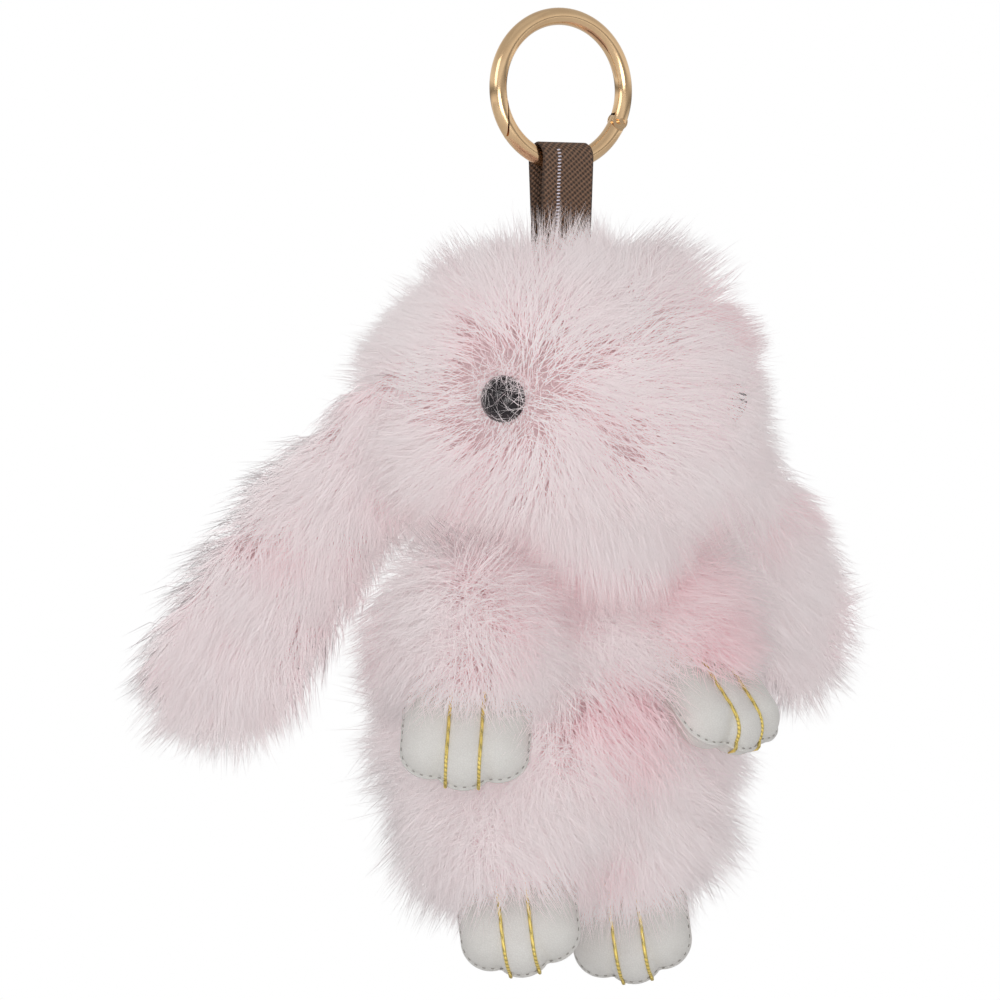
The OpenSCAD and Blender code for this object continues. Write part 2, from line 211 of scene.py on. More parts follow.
class Wire:
    # a node's output: a + b, 1 - a, a * b and so on each add a Math node
    def __init__(self, finish, socket):
        self.finish = finish
        self.socket = socket

    def maths(self, operation, first, second=None, clamp=False):
        values = {0: first} if second is None else {0: first, 1: second}
        return self.finish.put("ShaderNodeMath", {"operation": operation, "use_clamp": clamp}, values)

    def __add__(self, other):
        return self.maths("ADD", self, other)

    def __radd__(self, other):
        return self.maths("ADD", other, self)

    def __sub__(self, other):
        return self.maths("SUBTRACT", self, other)

    def __rsub__(self, other):
        return self.maths("SUBTRACT", other, self)

    def __mul__(self, other):
        return self.maths("MULTIPLY", self, other)

    def __rmul__(self, other):
        return self.maths("MULTIPLY", other, self)

    def __truediv__(self, other):
        return self.maths("DIVIDE", self, other)

    def __pow__(self, other):
        return self.maths("POWER", self, other)

    def sine(self):
        return self.maths("SINE", self)

    def size(self):
        return self.maths("ABSOLUTE", self)

    def clamp(self):
        return self.maths("ADD", self, 0.0, True)


class Graph:
    # a node tree; put() adds any node and links or sets its sockets
    def __init__(self, tree):
        self.tree = tree
        tree.nodes.clear()

    def put(self, kind, settings=None, sockets=None, out=0):
        node = self.tree.nodes.new(kind)
        for key, value in (settings or {}).items():
            if key == "stops":
                while len(node.color_ramp.elements) < len(value):
                    node.color_ramp.elements.new(0.5)
                for element, (at, colour) in zip(node.color_ramp.elements, value):
                    element.position = at
                    element.color = (*colour, 1)
            else:
                setattr(node, key, value)
        for key, value in (sockets or {}).items():
            self.join(value, node.inputs[key])
        return Wire(self, node.outputs[out]) if len(node.outputs) else None

    def join(self, value, socket):
        if isinstance(value, Wire):
            self.tree.links.new(value.socket, socket)
        elif hasattr(value, "__len__") and len(value) == 3 and socket.type == "RGBA":
            socket.default_value = (*value, 1)
        else:
            socket.default_value = value


class Finish(Graph):
    # one material with a Principled shader
    def __init__(self, name, **constants):
        self.material = bpy.data.materials.new(name)
        self.material.use_nodes = True
        super().__init__(self.material.node_tree)
        shader = self.put("ShaderNodeBsdfPrincipled")
        self.shader = shader.socket.node
        self.put("ShaderNodeOutputMaterial", None, {"Surface": shader})
        self.feed(**constants)

    def feed(self, **sockets):
        for name, value in sockets.items():
            self.join(value, self.shader.inputs[name.replace("_", " ")])
        return self.material

    def place(self, scale=1.0):
        where = self.put("ShaderNodeTexCoord", out=3)      # object coordinates, in metres
        return self.put("ShaderNodeMapping", None, {"Vector": where, "Scale": (scale, scale, scale)})

    def noise(self, vector, scale, detail=3.0, rough=0.5):
        return self.put("ShaderNodeTexNoise", None,
                        {"Vector": vector, "Scale": scale, "Detail": detail, "Roughness": rough})

    def mix(self, factor, a, b):
        return self.put("ShaderNodeMix", {"data_type": "RGBA"}, {0: factor, 6: a, 7: b}, 2)

    def ramp(self, value, *stops):
        return self.put("ShaderNodeValToRGB", {"stops": stops}, {0: value})

    def bump(self, height, strength, distance):
        return self.put("ShaderNodeBump", None,
                        {"Strength": strength, "Distance": distance, "Height": height})

    def uv(self, axis):
        chart = self.put("ShaderNodeUVMap", {"uv_map": "OFBake"})
        return self.put("ShaderNodeSeparateXYZ", None, {0: chart}, axis)


def roseGold():
    look = {"light": (0.86, 0.62, 0.37), "dark": (0.72, 0.47, 0.26)}
    finish = Finish("roseGoldPlate", Metallic=1.0)
    place = finish.place(1000)
    cloud = finish.noise(place, 0.35, 3)
    scratch = finish.noise(place, 5.0, 2)
    return finish.feed(Base_Color=finish.mix(cloud, look["light"], look["dark"]),
                       Roughness=0.1 + 0.1 * scratch,
                       Normal=finish.bump(scratch, 0.03, 0.0001))


def springSteel():
    finish = Finish("springSteel", Metallic=1.0)
    marks = finish.noise(finish.place(1000), 8.0)
    return finish.feed(Base_Color=finish.mix(marks, (0.62, 0.63, 0.65), (0.5, 0.5, 0.52)),
                       Roughness=0.2 + 0.2 * marks)


def blackPlastic():
    finish = Finish("blackEyePlastic", Roughness=0.1, Specular_IOR_Level=0.3, Coat_Weight=0.15,
                    Coat_Roughness=0.02)
    haze = finish.noise(finish.place(1000), 2.0)
    return finish.feed(Base_Color=finish.mix(haze, (0.008, 0.006, 0.008), (0.02, 0.015, 0.018)),
                       Normal=finish.bump(haze, 0.02, 0.0001))


def washerPlastic():
    finish = Finish("washerPlastic", Roughness=0.5)
    haze = finish.noise(finish.place(1000), 1.5)
    return finish.feed(Base_Color=finish.mix(haze, (0.8, 0.8, 0.78), (0.7, 0.7, 0.69)),
                       Normal=finish.bump(haze, 0.1, 0.0001))


def wadding():
    finish = Finish("looseWadding", Roughness=0.95)
    place = finish.place(1000)
    fluff = finish.noise(place, 0.9, 6, 0.7)
    return finish.feed(Base_Color=finish.mix(fluff, (0.8, 0.79, 0.77), (0.95, 0.95, 0.94)),
                       Normal=finish.bump(fluff, 0.8, 0.001))


# strand colour: v goes from the root to the tip, u is the strand's tint, from pale to deep pink: partly its
# own random tint and partly painted shade in the pile's partings and creases
def furStrands():
    look = {"root": (0.94, 0.76, 0.78), "tip": (0.955, 0.875, 0.88), "deepRoot": (0.90, 0.46, 0.52),
            "deepTip": (0.94, 0.68, 0.71), "paintedLightGlow": 0.22}
    # the emission of the strand colour is painted light: a glow that lifts the fur's shade, though the fur is
    # no lamp
    finish = Finish("furStrands", Roughness=0.6, Specular_IOR_Level=0.25, Emission_Strength=look["paintedLightGlow"],
                    Subsurface_Weight=0.35, Subsurface_Radius=(1.0, 0.85, 0.85), Subsurface_Scale=0.0006)
    tint = finish.uv(0)
    reach = finish.uv(1)
    pale = finish.ramp(reach, (0.0, look["root"]), (0.45, look["tip"]))
    deep = finish.ramp(reach, (0.0, look["deepRoot"]), (0.8, look["deepTip"]))
    tinted = finish.mix(tint, pale, deep)
    return finish.feed(Base_Color=tinted, Emission_Color=tinted)


def furBacking():
    finish = Finish("furBackingCloth", Roughness=0.95)
    place = finish.place(1000)
    pile = finish.noise(place, 1.6, 5, 0.7)
    patch = finish.noise(place, 0.12, 2)
    colour = finish.mix(pile, (0.92, 0.60, 0.64), (0.94, 0.76, 0.78))
    return finish.feed(Base_Color=finish.mix(0.5 * patch, colour, (0.93, 0.66, 0.66)),
                       Normal=finish.bump(pile, 0.9, 0.0012))


def earLining():
    finish = Finish("earLiningPlush", Roughness=0.9)
    place = finish.place(1000)
    pile = finish.noise(place, 3.0, 5, 0.7)
    patch = finish.noise(place, 0.15, 2)
    colour = finish.mix(pile, (0.86, 0.70, 0.60), (0.97, 0.88, 0.80))
    return finish.feed(Base_Color=finish.mix(0.5 * patch, colour, (0.95, 0.76, 0.74)),
                       Normal=finish.bump(pile, 0.7, 0.0005))


def pawLeather():
    look = {"light": (0.78, 0.765, 0.735), "shade": (0.69, 0.67, 0.64), "crease": (0.52, 0.49, 0.46)}
    finish = Finish("pawLeather", Roughness=0.5, Specular_IOR_Level=0.45)
    place = finish.place(1000)
    grain = finish.put("ShaderNodeTexVoronoi", {"feature": "DISTANCE_TO_EDGE"},
                       {"Vector": place, "Scale": 2.6})
    pores = (grain * 6.0).clamp()
    cloud = finish.noise(place, 0.22, 4)
    wrinkle = finish.noise(place, 0.7, 5, 0.6)
    colour = finish.mix(cloud, look["light"], look["shade"])
    colour = finish.mix(0.28 * (1 - pores), colour, look["crease"])
    height = 0.35 * pores + 1.4 * wrinkle
    return finish.feed(Base_Color=colour, Roughness=0.42 + 0.2 * wrinkle,
                       Normal=finish.bump(height, 0.35, 0.0004))


# two twisted yarns: dark and bright bands sin 2 pi (u + 14 v) slant round the thread, with flecks of foil
def goldThread():
    finish = Finish("goldThread", Metallic=0.75)
    twist = (fullTurn * (finish.uv(0) + 14.0 * finish.uv(1))).sine()
    flecks = finish.noise(finish.place(1000), 5.0, 3)
    band = (0.5 + 0.5 * twist)
    colour = finish.mix(band ** 0.5, (0.34, 0.25, 0.07), (0.92, 0.70, 0.17))
    colour = finish.mix((flecks * 2.4 - 1.1).clamp(), colour, (0.98, 0.86, 0.42))
    return finish.feed(Base_Color=colour, Roughness=0.28 + 0.2 * flecks,
                       Normal=finish.bump(band, 0.6, 0.0001))


def seamThread(name, light, dark):
    finish = Finish(name, Roughness=0.8)
    fuzz = finish.noise(finish.place(1000), 4.0, 3)
    return finish.feed(Base_Color=finish.mix(fuzz, dark, light), Normal=finish.bump(fuzz, 0.4, 0.0001))


# diagonal twill on the strap's chart in millimetres: ribs sin 2 pi (0.8 u - 0.95 v), crossed by picks
# sin 2 pi (1.1 u + 1.3 v), darker at the two edges
def strapWebbing():
    look = {"rib": (0.25, 0.14, 0.085), "valley": (0.022, 0.012, 0.008), "thread": (0.33, 0.2, 0.13)}
    finish = Finish("strapWebbing", Roughness=0.75)
    across = finish.uv(0) * 10.0
    down = finish.uv(1) * 48.0
    ribs = 0.5 + 0.5 * (fullTurn * (across * 0.8 - down * 0.95)).sine()
    picks = 0.5 + 0.5 * (fullTurn * (across * 1.1 + down * 1.3)).sine()
    edge = ((across - 5.0).size() * 4.0 - 18.2).clamp()
    fuzz = finish.noise(finish.place(1000), 3.0, 4)
    height = (ribs * 0.75 + picks * 0.45) ** 1.6
    # colour follows the weave's height: the low parts take the near-black valley colour, painted shade
    # between the ribs and picks
    colour = finish.mix(height, look["valley"], look["rib"])
    colour = finish.mix(0.5 * fuzz * picks, colour, look["thread"])
    colour = finish.mix(0.55 * edge, colour, look["valley"])
    return finish.feed(Base_Color=colour, Normal=finish.bump(height, 0.9, 0.00025))


print("finishes")
gold = roseGold()
fur = furStrands()
backing = furBacking()
lining = earLining()
leather = pawLeather()
claw = goldThread()
pawThread = seamThread("pawSeamThread", (0.42, 0.40, 0.37), (0.28, 0.26, 0.24))
ladderThread = seamThread("strapLadderThread", (0.82, 0.79, 0.86), (0.6, 0.56, 0.66))
webbing = strapWebbing()
carried = {"ring_metal": gold, "spring_steel": springSteel(), "eye_plastic": blackPlastic(),
           "washer_plastic": washerPlastic(), "wadding": wadding()}
for part in frame["record"]["subparts"]:
    if part["material_slot"] in carried:
        mesh = nodes[part["node"]].data
        mesh.materials.clear()
        mesh.materials.append(carried[part["material_slot"]])


# the surface's unit normal and how fast it runs along u and v
def normalAt(surface, u, v, step=1e-3):
    v = np.clip(v, step, 1 - step)
    du = (surface(u + step, v) - surface(u - step, v)) / (2 * step)
    dv = (surface(u, v + step) - surface(u, v - step)) / (2 * step)
    return unit(np.cross(du, dv)), np.linalg.norm(du, axis=-1), np.linalg.norm(dv, axis=-1)


# painted shade: deeper pink where the pile parts, laid as a slow random wave, and in the creases under the
# chin and the arms, on the belly, beside an eye and by the ear's inner edge
def paintedPartingShade(p):
    wave = wavy(p, 17, 77)[:, 0] + 0.5 * wavy(p, 8, 78)[:, 1]
    # points where painted shade turns the pile deep pink
    shadedCreases = np.array([(12, -16, -82), (-12, -10, -84), (2, -22, -106), (-30, 6, -92), (22, -14, -40),
                        (-42, 7, -94), (18, -16, -76), (20, -22, -92)])
    near = np.min(np.linalg.norm(p[:, None] - shadedCreases[None], axis=2), 1)
    return 0.34 * smooth(wave, 0.3, 1.8) + 0.62 * (1 - smooth(near, 3, 16))


# fur in front of y = -37.5 is pressed back: y = -37.5 - 2.8 tanh(excess / 2.8)
def pressed(p):
    over = np.maximum(-37.5 - p[:, 1], 0)
    return p + np.stack([0 * over, over - 2.8 * np.tanh(over / 2.8), 0 * over], 1)


# tufts sit in cells of the surface, drawn by the cell's area times keep
def seatTufts(surface, keep, tufts, dice):
    cellsU, cellsV = 160, 120
    u, v = np.meshgrid((np.arange(cellsU) + 0.5) / cellsU, (np.arange(cellsV) + 0.5) / cellsV)
    spot = surface(u, v)
    normal, su, sv = normalAt(surface, u, v)
    sign = np.sign(((spot - spot.mean((0, 1))) * normal).sum())
    weight = su * sv if keep is None else su * sv * keep(spot)
    chance = np.cumsum(weight.ravel())
    pick = np.searchsorted(chance, dice.uniform(0, chance[-1], tufts))
    tuftU = u.ravel()[pick] + dice.uniform(-0.5, 0.5, tufts) / cellsU
    tuftV = np.clip(v.ravel()[pick] + dice.uniform(-0.5, 0.5, tufts) / cellsV, 0.002, 0.998)
    return tuftU, tuftV, sign


# needles P(t) + r (cos a N + sin a B) round many lines at once: three corners at the root and half way,
# then a point. They are shaded mostly with the skin's normal, as soft pile is
def needleMesh(name, line, normal, dart, thick, tint):
    way = unit(line[-1] - line[0])
    side = unit(np.cross(way, dart))
    up = np.cross(way, side)
    points, leans = [], []
    for centre, size in zip(line, (1.0, 0.72)):
        for a in 2 * np.pi * np.arange(3) / 3:
            out = np.cos(a) * side + np.sin(a) * up
            points.append(centre + out * thick * size)
            leans.append(unit(normal * 0.85 + out * 0.5))
    points = np.stack([*points, line[-1]], 1).reshape(-1, 3)
    leans = np.stack([*leans, normal], 1).reshape(-1, 3)
    tris, corners = [(0, 2, 1)], [((0, 0), (1, 0), (0.5, 0.02))]
    for k in range(3):
        n = (k + 1) % 3
        tris += [(k, n, n + 3), (k, n + 3, k + 3), (k + 3, n + 3, 6)]
        corners += [((0, 0), (1, 0), (1, 0.5)), ((0, 0), (1, 0.5), (0, 0.5)), ((0, 0.5), (1, 0.5), (0.5, 1))]
    count = len(tint)
    faces = (np.array(tris)[None] + np.arange(count)[:, None, None] * 7).reshape(-1, 3)
    chart = np.broadcast_to(np.array(corners, float)[None], (count, len(tris), 3, 2)).copy()
    chart[..., 0] = tint[:, None, None] + chart[..., 0] * 0.03
    return makeMesh(name, points, faces, chart, leans)


# one coat in tufts. A strand is root + L (d0 (t - t^2/2) + d1 t^2/2): d0 leans off the skin and d1 is the way
# it is combed, and t^1.5 of its offset from the tuft's middle strand is gathered in
def growFur(name, body, surface, coat, flow, keep=None, seed=1):
    dice = np.random.default_rng(seed)
    perTuft = coat["perTuft"]
    tufts = int(int(coat["strands"] * (1.0)) / perTuft)
    tuftU, tuftV, sign = seatTufts(surface, keep, tufts, dice)
    tuftSpot = surface(tuftU, tuftV)
    tuftNormal, tuftSu, tuftSv = normalAt(surface, tuftU, tuftV)
    tuftWay = dice.normal(size=(tufts, 3)) * coat["stray"]
    tuftWay = tuftWay + wavy(tuftSpot, coat["swirlSize"], seed) * coat["swirl"]
    tuftLength = coat["length"] * dice.uniform(0.72, 1.12, tufts)
    tuftTint = dice.uniform(0, 1, tufts) ** 2
    which = np.repeat(np.arange(tufts), perTuft)
    count = len(which)
    off = dice.normal(size=(count, 2)) * coat["tuftSize"]
    u = tuftU[which] + off[:, 0] / np.maximum(tuftSu[which], 8)
    v = np.clip(tuftV[which] + off[:, 1] / np.maximum(tuftSv[which], 8), 0.001, 0.999)

    def lineOf(spot, normal, way, length, rand):
        comb, stretch = flow(spot, normal)
        comb = comb + way
        into = np.minimum((comb * normal).sum(-1, keepdims=True), 0)
        comb = unit(comb - into * normal)
        start = unit(normal * coat["lift"] + comb * (1 - coat["lift"]) + rand * 0.25)
        end = unit(comb + normal * coat["tipLift"] + np.array([0, 0, -coat["droop"]]) + rand * coat["frizz"])
        reach = (length * stretch)[:, None]
        return start * reach, end * reach

    roots = surface(u, v)
    normal = normalAt(surface, u, v)[0] * sign
    dart = dice.normal(size=(count, 3))
    length = tuftLength[which] * dice.uniform(0.78, 1.1, count)
    long = dice.uniform(0, 1, count) < 0.05
    length = np.where(long, length * 1.22, length)
    start, end = lineOf(roots, normal, tuftWay[which], length, dart)
    tuftStart, tuftEnd = lineOf(tuftSpot, tuftNormal * sign, tuftWay, tuftLength, np.zeros((tufts, 3)))
    times = (0, 0.5, 1)
    line = [roots - 0.4 * normal + start * (t - t * t / 2) + end * t * t / 2 for t in times]
    middle = [tuftSpot + tuftStart * (t - t * t / 2) + tuftEnd * t * t / 2 for t in times]
    gather = coat["gather"] * dice.uniform(0.35, 1.0, (count, 1))
    line = [pressed(a + (b[which] - a) * gather * t ** 1.5) for a, b, t in zip(line, middle, times)]
    thick = coat["thick"] * dice.uniform(0.75, 1.2, (count, 1))
    # the strand's tint: a random share per tuft and strand, plus painted shade in the pile's partings and
    # creases
    tint = 0.18 * tuftTint[which] + 0.12 * dice.uniform(0, 1, count) + paintedPartingShade(roots)
    dress(needleMesh(name, line, normal, dart, thick, np.clip(tint, 0, 0.96)), fur, body)
    print(name, count, "strands")


# a round-edged disc: ((step + r cos f) cos a, (step + r cos f) sin a, r sin f)
def roundedDisc(middle, step, radius):
    def surface(u, v):
        f = np.pi * (0.5 - v)
        a = 2 * np.pi * u
        wide = step * np.minimum(1, 3 * np.sin(np.pi * v)) + radius * np.cos(f)
        return np.array(middle) + np.stack([wide * np.cos(a), wide * np.sin(a), radius * np.sin(f)], -1)
    return surface


# a stuffed shape along a line: C(s) + e (W(s) cos a, T(s) sin a) with s = (1 - cos pi v) / 2
# and the ends rounded by e = (1 - |2s - 1|^p)^(1/p)
def stuffed(place, line, wide, deep, fullness=2.5):
    def surface(u, v):
        s = (1 - np.cos(np.pi * v)) / 2
        a = 2 * np.pi * u
        e = np.maximum(1 - np.abs(2 * s - 1) ** fullness, 0) ** (1 / fullness)
        middle = along(line, s)
        local = np.stack([e * along(wide, s) * np.cos(a), e * along(deep, s) * np.sin(a), 0 * a], -1) + middle
        return toWorld(place, local)
    return surface


still = limbFrame((0, 0, 0), 0, 0, 0)
skull = {"middle": (0, 0, -53.7), "step": 6.5, "radius": 22.4}
snout = {"line": [(0, 2, -55), (0, -5, -61), (0, -9, -67), (0, -13, -76), (0, -15.5, -81.5)],
         "wide": [15, 15.5, 14.6, 12.0, 11.0], "deep": [14, 15, 14, 11.5, 10.5]}
eyes = np.array([(-22.2, -18.6, -53.7), (22.2, -18.6, -53.7)])
faceMiddle = np.array([-18.0, -20.0, -51.5])
skullSurface = roundedDisc(skull["middle"], skull["step"], skull["radius"])
snoutSurface = stuffed(still, snout["line"], snout["wide"], snout["deep"])
torso = {"line": [(0, 3, -70), (0, 3, -80), (0, 2, -92), (0, 2, -104), (0, 2, -117), (0, 2, -128.6)],
         "wide": [10, 13, 19, 23.5, 24.5, 20], "deep": [9.5, 10.5, 15.5, 20.5, 21.5, 18]}
torsoSurface = stuffed(still, torso["line"], torso["wide"], torso["deep"], 2.6)
tailSurface = stuffed(still, [(0, 27, -104), (0, 27, -118)], [7, 7], [7, 7], 2)


def insideSnout(p):
    a, b = np.array([0, -5, -61.0]), np.array([0, -11.4, -71.2])
    t = np.clip(((p - a) @ (b - a)) / ((b - a) @ (b - a)), 0, 1)
    near = np.linalg.norm(p - (a + t[..., None] * (b - a)), axis=-1)
    return near < 14.6 - 4 * t


def insideSkull(p):
    q = p - np.array(skull["middle"])
    flat = np.maximum(np.hypot(q[..., 0], q[..., 1]) - skull["step"], 0)
    return np.hypot(flat, q[..., 2]) < skull["radius"] - 0.5


def nearEye(p):
    return np.minimum(np.linalg.norm(p - eyes[0], axis=-1), np.linalg.norm(p - eyes[1], axis=-1))


# head fur lies away from the face's middle, shorter round the eyes and the strap and combed off them
def headFlow(p, n):
    near = nearEye(p)
    eye = np.where((p[:, :1] < 0), eyes[0], eyes[1])
    clear = smooth(near, 4.5, np.where(p[:, 0] < 0, 13, 8))[:, None]
    comb = unit(p - faceMiddle) * np.array([1, 1, 0.9]) + np.array([0, 0.1, -0.2])
    comb = comb * clear + unit(p - eye) * (1 - clear) * 1.2
    bald = np.where(p[:, 0] < 0, 0.34, 0.9)
    brow = smooth(p[:, 2], -66, -48) * smooth(abs(p[:, 0]), 10, 22)
    lengthHere = (bald + (1 - bald) * smooth(near, 4.2, 12)) * (1 - 0.24 * brow)
    crown = np.linalg.norm(p - np.array([0, 0, -31.5]), axis=1)
    offStrap = smooth(crown, 5, 12)
    comb = comb + unit(p - np.array([0, 0, -36.0])) * (1 - offStrap)[:, None] * np.array([1.2, 1.2, 0])
    return comb, lengthHere * (0.5 + 0.5 * offStrap)


def snoutFlow(p, n):
    near = nearEye(p)
    comb = unit(p - faceMiddle) * 0.6 + np.array([0, -0.15, -1.0])
    comb[:, 0] += p[:, 0] * 0.03
    return comb, 0.35 + 0.65 * smooth(near, 5, 14)


def torsoFlow(p, n):
    out = np.stack([p[:, 0], p[:, 1] - 2, 0 * p[:, 0]], -1)
    return unit(out) * 0.5 + np.array([0, 0, -0.85]), np.ones(len(p))


def tailFlow(p, n):
    return n + np.array([0, 0, -0.3]), np.ones(len(p))


def limbFlow(place, stop):
    turn, seam = place
    down = turn @ np.array([0, 0, -1.0])

    def flow(p, n):
        reach = (p - seam) @ down
        return down + n * 0.4, 0.62 + 0.38 * smooth(stop - reach, 0, 9)
    return flow


# the padded backing cloth that a coat of fur grows from
def sewSkin(name, surface, body, stands, across, down):
    skin = dress(skinMesh(name, surface, across, down), backing, body)
    if stands:
        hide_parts(stands)


print("head")
sewSkin("headBacking", skullSurface, "head", "head_fur_skin", 128, 80)
sewSkin("snoutBacking", snoutSurface, "head", None, 96, 64)
headCoat = {"strands": 19400, "perTuft": 40, "length": 13.6, "thick": 0.082, "tuftSize": 2.2, "lift": 0.6,
            "tipLift": 0.28, "droop": 0.12, "stray": 0.22, "swirl": 0.35, "swirlSize": 26, "gather": 0.66,
            "frizz": 0.12}


def keepFront(p):
    return (~insideSnout(p)) * (p[..., 1] < 2) * (nearEye(p) > 4.0)


growFur("headFurFront", "head", skullSurface, headCoat, headFlow, keepFront, 3)
growFur("headFurBack", "head", skullSurface, {**headCoat, "strands": 17000},
        headFlow, lambda p: (p[..., 1] >= 2) * 1.0, 4)
snoutCoat = {**headCoat, "strands": 15000, "length": 11, "tuftSize": 1.8, "lift": 0.5, "tipLift": 0.2,
             "droop": 0.25}
growFur("snoutFur", "head", snoutSurface, snoutCoat, snoutFlow,
        lambda p: ~insideSkull(p) * 1.0, 5)

# a web of fine hairs lies across each eye
wispCoat = {**headCoat, "strands": 620, "perTuft": 1, "length": 8.5, "thick": 0.045, "tuftSize": 0.4,
            "lift": 0.72, "tipLift": 0.05, "stray": 0.5, "swirl": 0.9, "swirlSize": 2.5, "gather": 0.0,
            "frizz": 0.2}


def wispFlow(p, n):
    eye = np.where((p[:, :1] < 0), eyes[0], eyes[1])
    return unit(eye - p), np.ones(len(p))


growFur("eyeWisps", "head", skullSurface, wispCoat, wispFlow,
        lambda p: (nearEye(p) > 3.5) * (nearEye(p) < 5.8) * (0.35 + (p[..., 2] > -53)), 6)

print("ears")
earCoat = {"strands": 16500, "perTuft": 40, "length": 11.5, "thick": 0.082, "tuftSize": 2.1, "lift": 0.42,
           "tipLift": 0.16, "droop": 0.12, "stray": 0.2, "swirl": 0.25, "swirlSize": 24, "gather": 0.62,
           "frizz": 0.1}
for name, side, lean, spread in (("right", -1, 23.6, 24), ("left", 1, 19, -39.6)):
    place = limbFrame((side * 27.53, 6.62, -51.7), lean, spread, side * 14.5)
    earSurface = stuffed(place, [(0, -1, 3), (0, -1.3, -14), (side * 0.9, -1.3, -38), (side * 1.8, -1, -65)],
                         [5.0, 7.8, 10.8, 12.0], [2.2, 1.6, 1.6, 1.5], 3.2)
    liningSurface = stuffed(place, [(0, 0.6, 0), (0, 0.6, -14), (0, 0.6, -38), (0, 0.6, -65)],
                            [3.6, 5.6, 8.6, 10.5], [0.6, 0.6, 0.6, 0.6], 3.2)
    sewSkin(name + "EarBacking", earSurface, name + "_ear", name + "_ear_fur", 64, 64)
    cloth = skinMesh(name + "EarLining", liningSurface, 64, 64)
    dress(cloth, lining, name + "_ear")
    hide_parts(name + "_ear_lining")
    turn, seam = place
    back = turn @ np.array([0, 1.0, 0])
    down = turn @ np.array([0, 0, -1.0])

    def earFlow(p, n, seam=seam, down=down):
        off = p - seam
        off = off - (off @ down)[:, None] * down
        return down + unit(off) * 0.25, np.ones(len(p))

    def keepEar(p, seam=seam, back=back):
        return ((p - seam) @ back < 0.1) * 1.0

    growFur(name + "EarFur", name + "_ear", earSurface, earCoat, earFlow, keepEar, 7 + side)

print("torso")
sewSkin("torsoBacking", torsoSurface, "torso", "torso_fur_skin", 96, 80)
bodyCoat = {"strands": 17000, "perTuft": 38, "length": 15, "thick": 0.082, "tuftSize": 2.2, "lift": 0.58,
            "tipLift": 0.34, "droop": 0.12, "stray": 0.34, "swirl": 0.35, "swirlSize": 22, "gather": 0.68,
            "frizz": 0.12}
growFur("torsoFurFront", "torso", torsoSurface, bodyCoat,
        torsoFlow, lambda p: (p[..., 1] < 2) * (p[..., 2] < -78), 21)
growFur("torsoFurBack", "torso", torsoSurface, {**bodyCoat, "strands": 14000},
        torsoFlow, lambda p: (p[..., 1] >= 2) * (p[..., 2] < -78), 22)
sewSkin("tailBacking", tailSurface, "torso", "tail_fur", 48, 32)
tailCoat = {**bodyCoat, "strands": 4500, "length": 8, "lift": 0.8}
growFur("tailFur", "torso", tailSurface, tailCoat, tailFlow, None, 23)

limbs = {
    "right_arm": {"seam": (-20.5, -6, -91.5), "turn": (-24, 20, -36), "radius": 8.5, "paw": "hand",
        "cuff": 14.5, "seed": 154},
    "left_arm": {"seam": (15.2, -6, -89.4), "turn": (-40, -14, 18), "radius": 8.5, "paw": "hand",
        "cuff": 12.5, "seed": 147},
    "right_leg": {"seam": (-12, -1, -120.5), "turn": (-15, 1, -38), "radius": 8, "paw": "foot",
        "cuff": 14.5, "seed": 154},
    "left_leg": {"seam": (9.6, -1, -122), "turn": (-9, -4, -38), "radius": 8, "paw": "foot",
        "cuff": 14.5, "seed": 147}}
paws = {"hand": {"toe": 5.0, "pitch": 5.6, "reach": 27.0, "back": 1.8, "palm": 7.4, "middle": 16.0},
        "foot": {"toe": 5.0, "pitch": 5.0, "reach": 27.0, "back": 1.8, "palm": 7.8, "middle": 16.0}}


# fullness q of a paw at (x, s): the toes r^2 - (x - xk)^2 - max(0, s - reachk)^2 and the palm, blended as
# (sum qk^p)^(1/p), with p larger towards the toes so that the grooves deepen there
def pawFullness(paw, x, s):
    sharp = 1.5 + 4.5 * smooth(s, 10, paw["reach"] - 3)
    total = 0
    for k in (-1, 0, 1):
        over = np.maximum(0, s - (paw["reach"] - abs(k) * paw["back"]))
        q = paw["toe"] ** 2 - (x - k * paw["pitch"]) ** 2 - over ** 2
        q = q * smooth(s, 2, 12)
        total = total + np.maximum(q, 0) ** sharp
    palm = paw["palm"] ** 2 - x ** 2 - (0.8 * (s - 8)) ** 2
    total = total + np.maximum(palm, 0) ** sharp
    return total ** (1 / sharp)


# the paw's outline from its middle: the reach along each direction at which the fullness drops to nothing
def pawRim(paw, angle, middle):
    low, high = np.zeros_like(angle), np.full_like(angle, 40.0)
    for turn in range(40):
        half = (low + high) / 2
        full = pawFullness(paw, half * np.cos(angle), middle + half * np.sin(angle)) > 1e-6
        low, high = np.where(full, half, low), np.where(full, high, half)
    return low


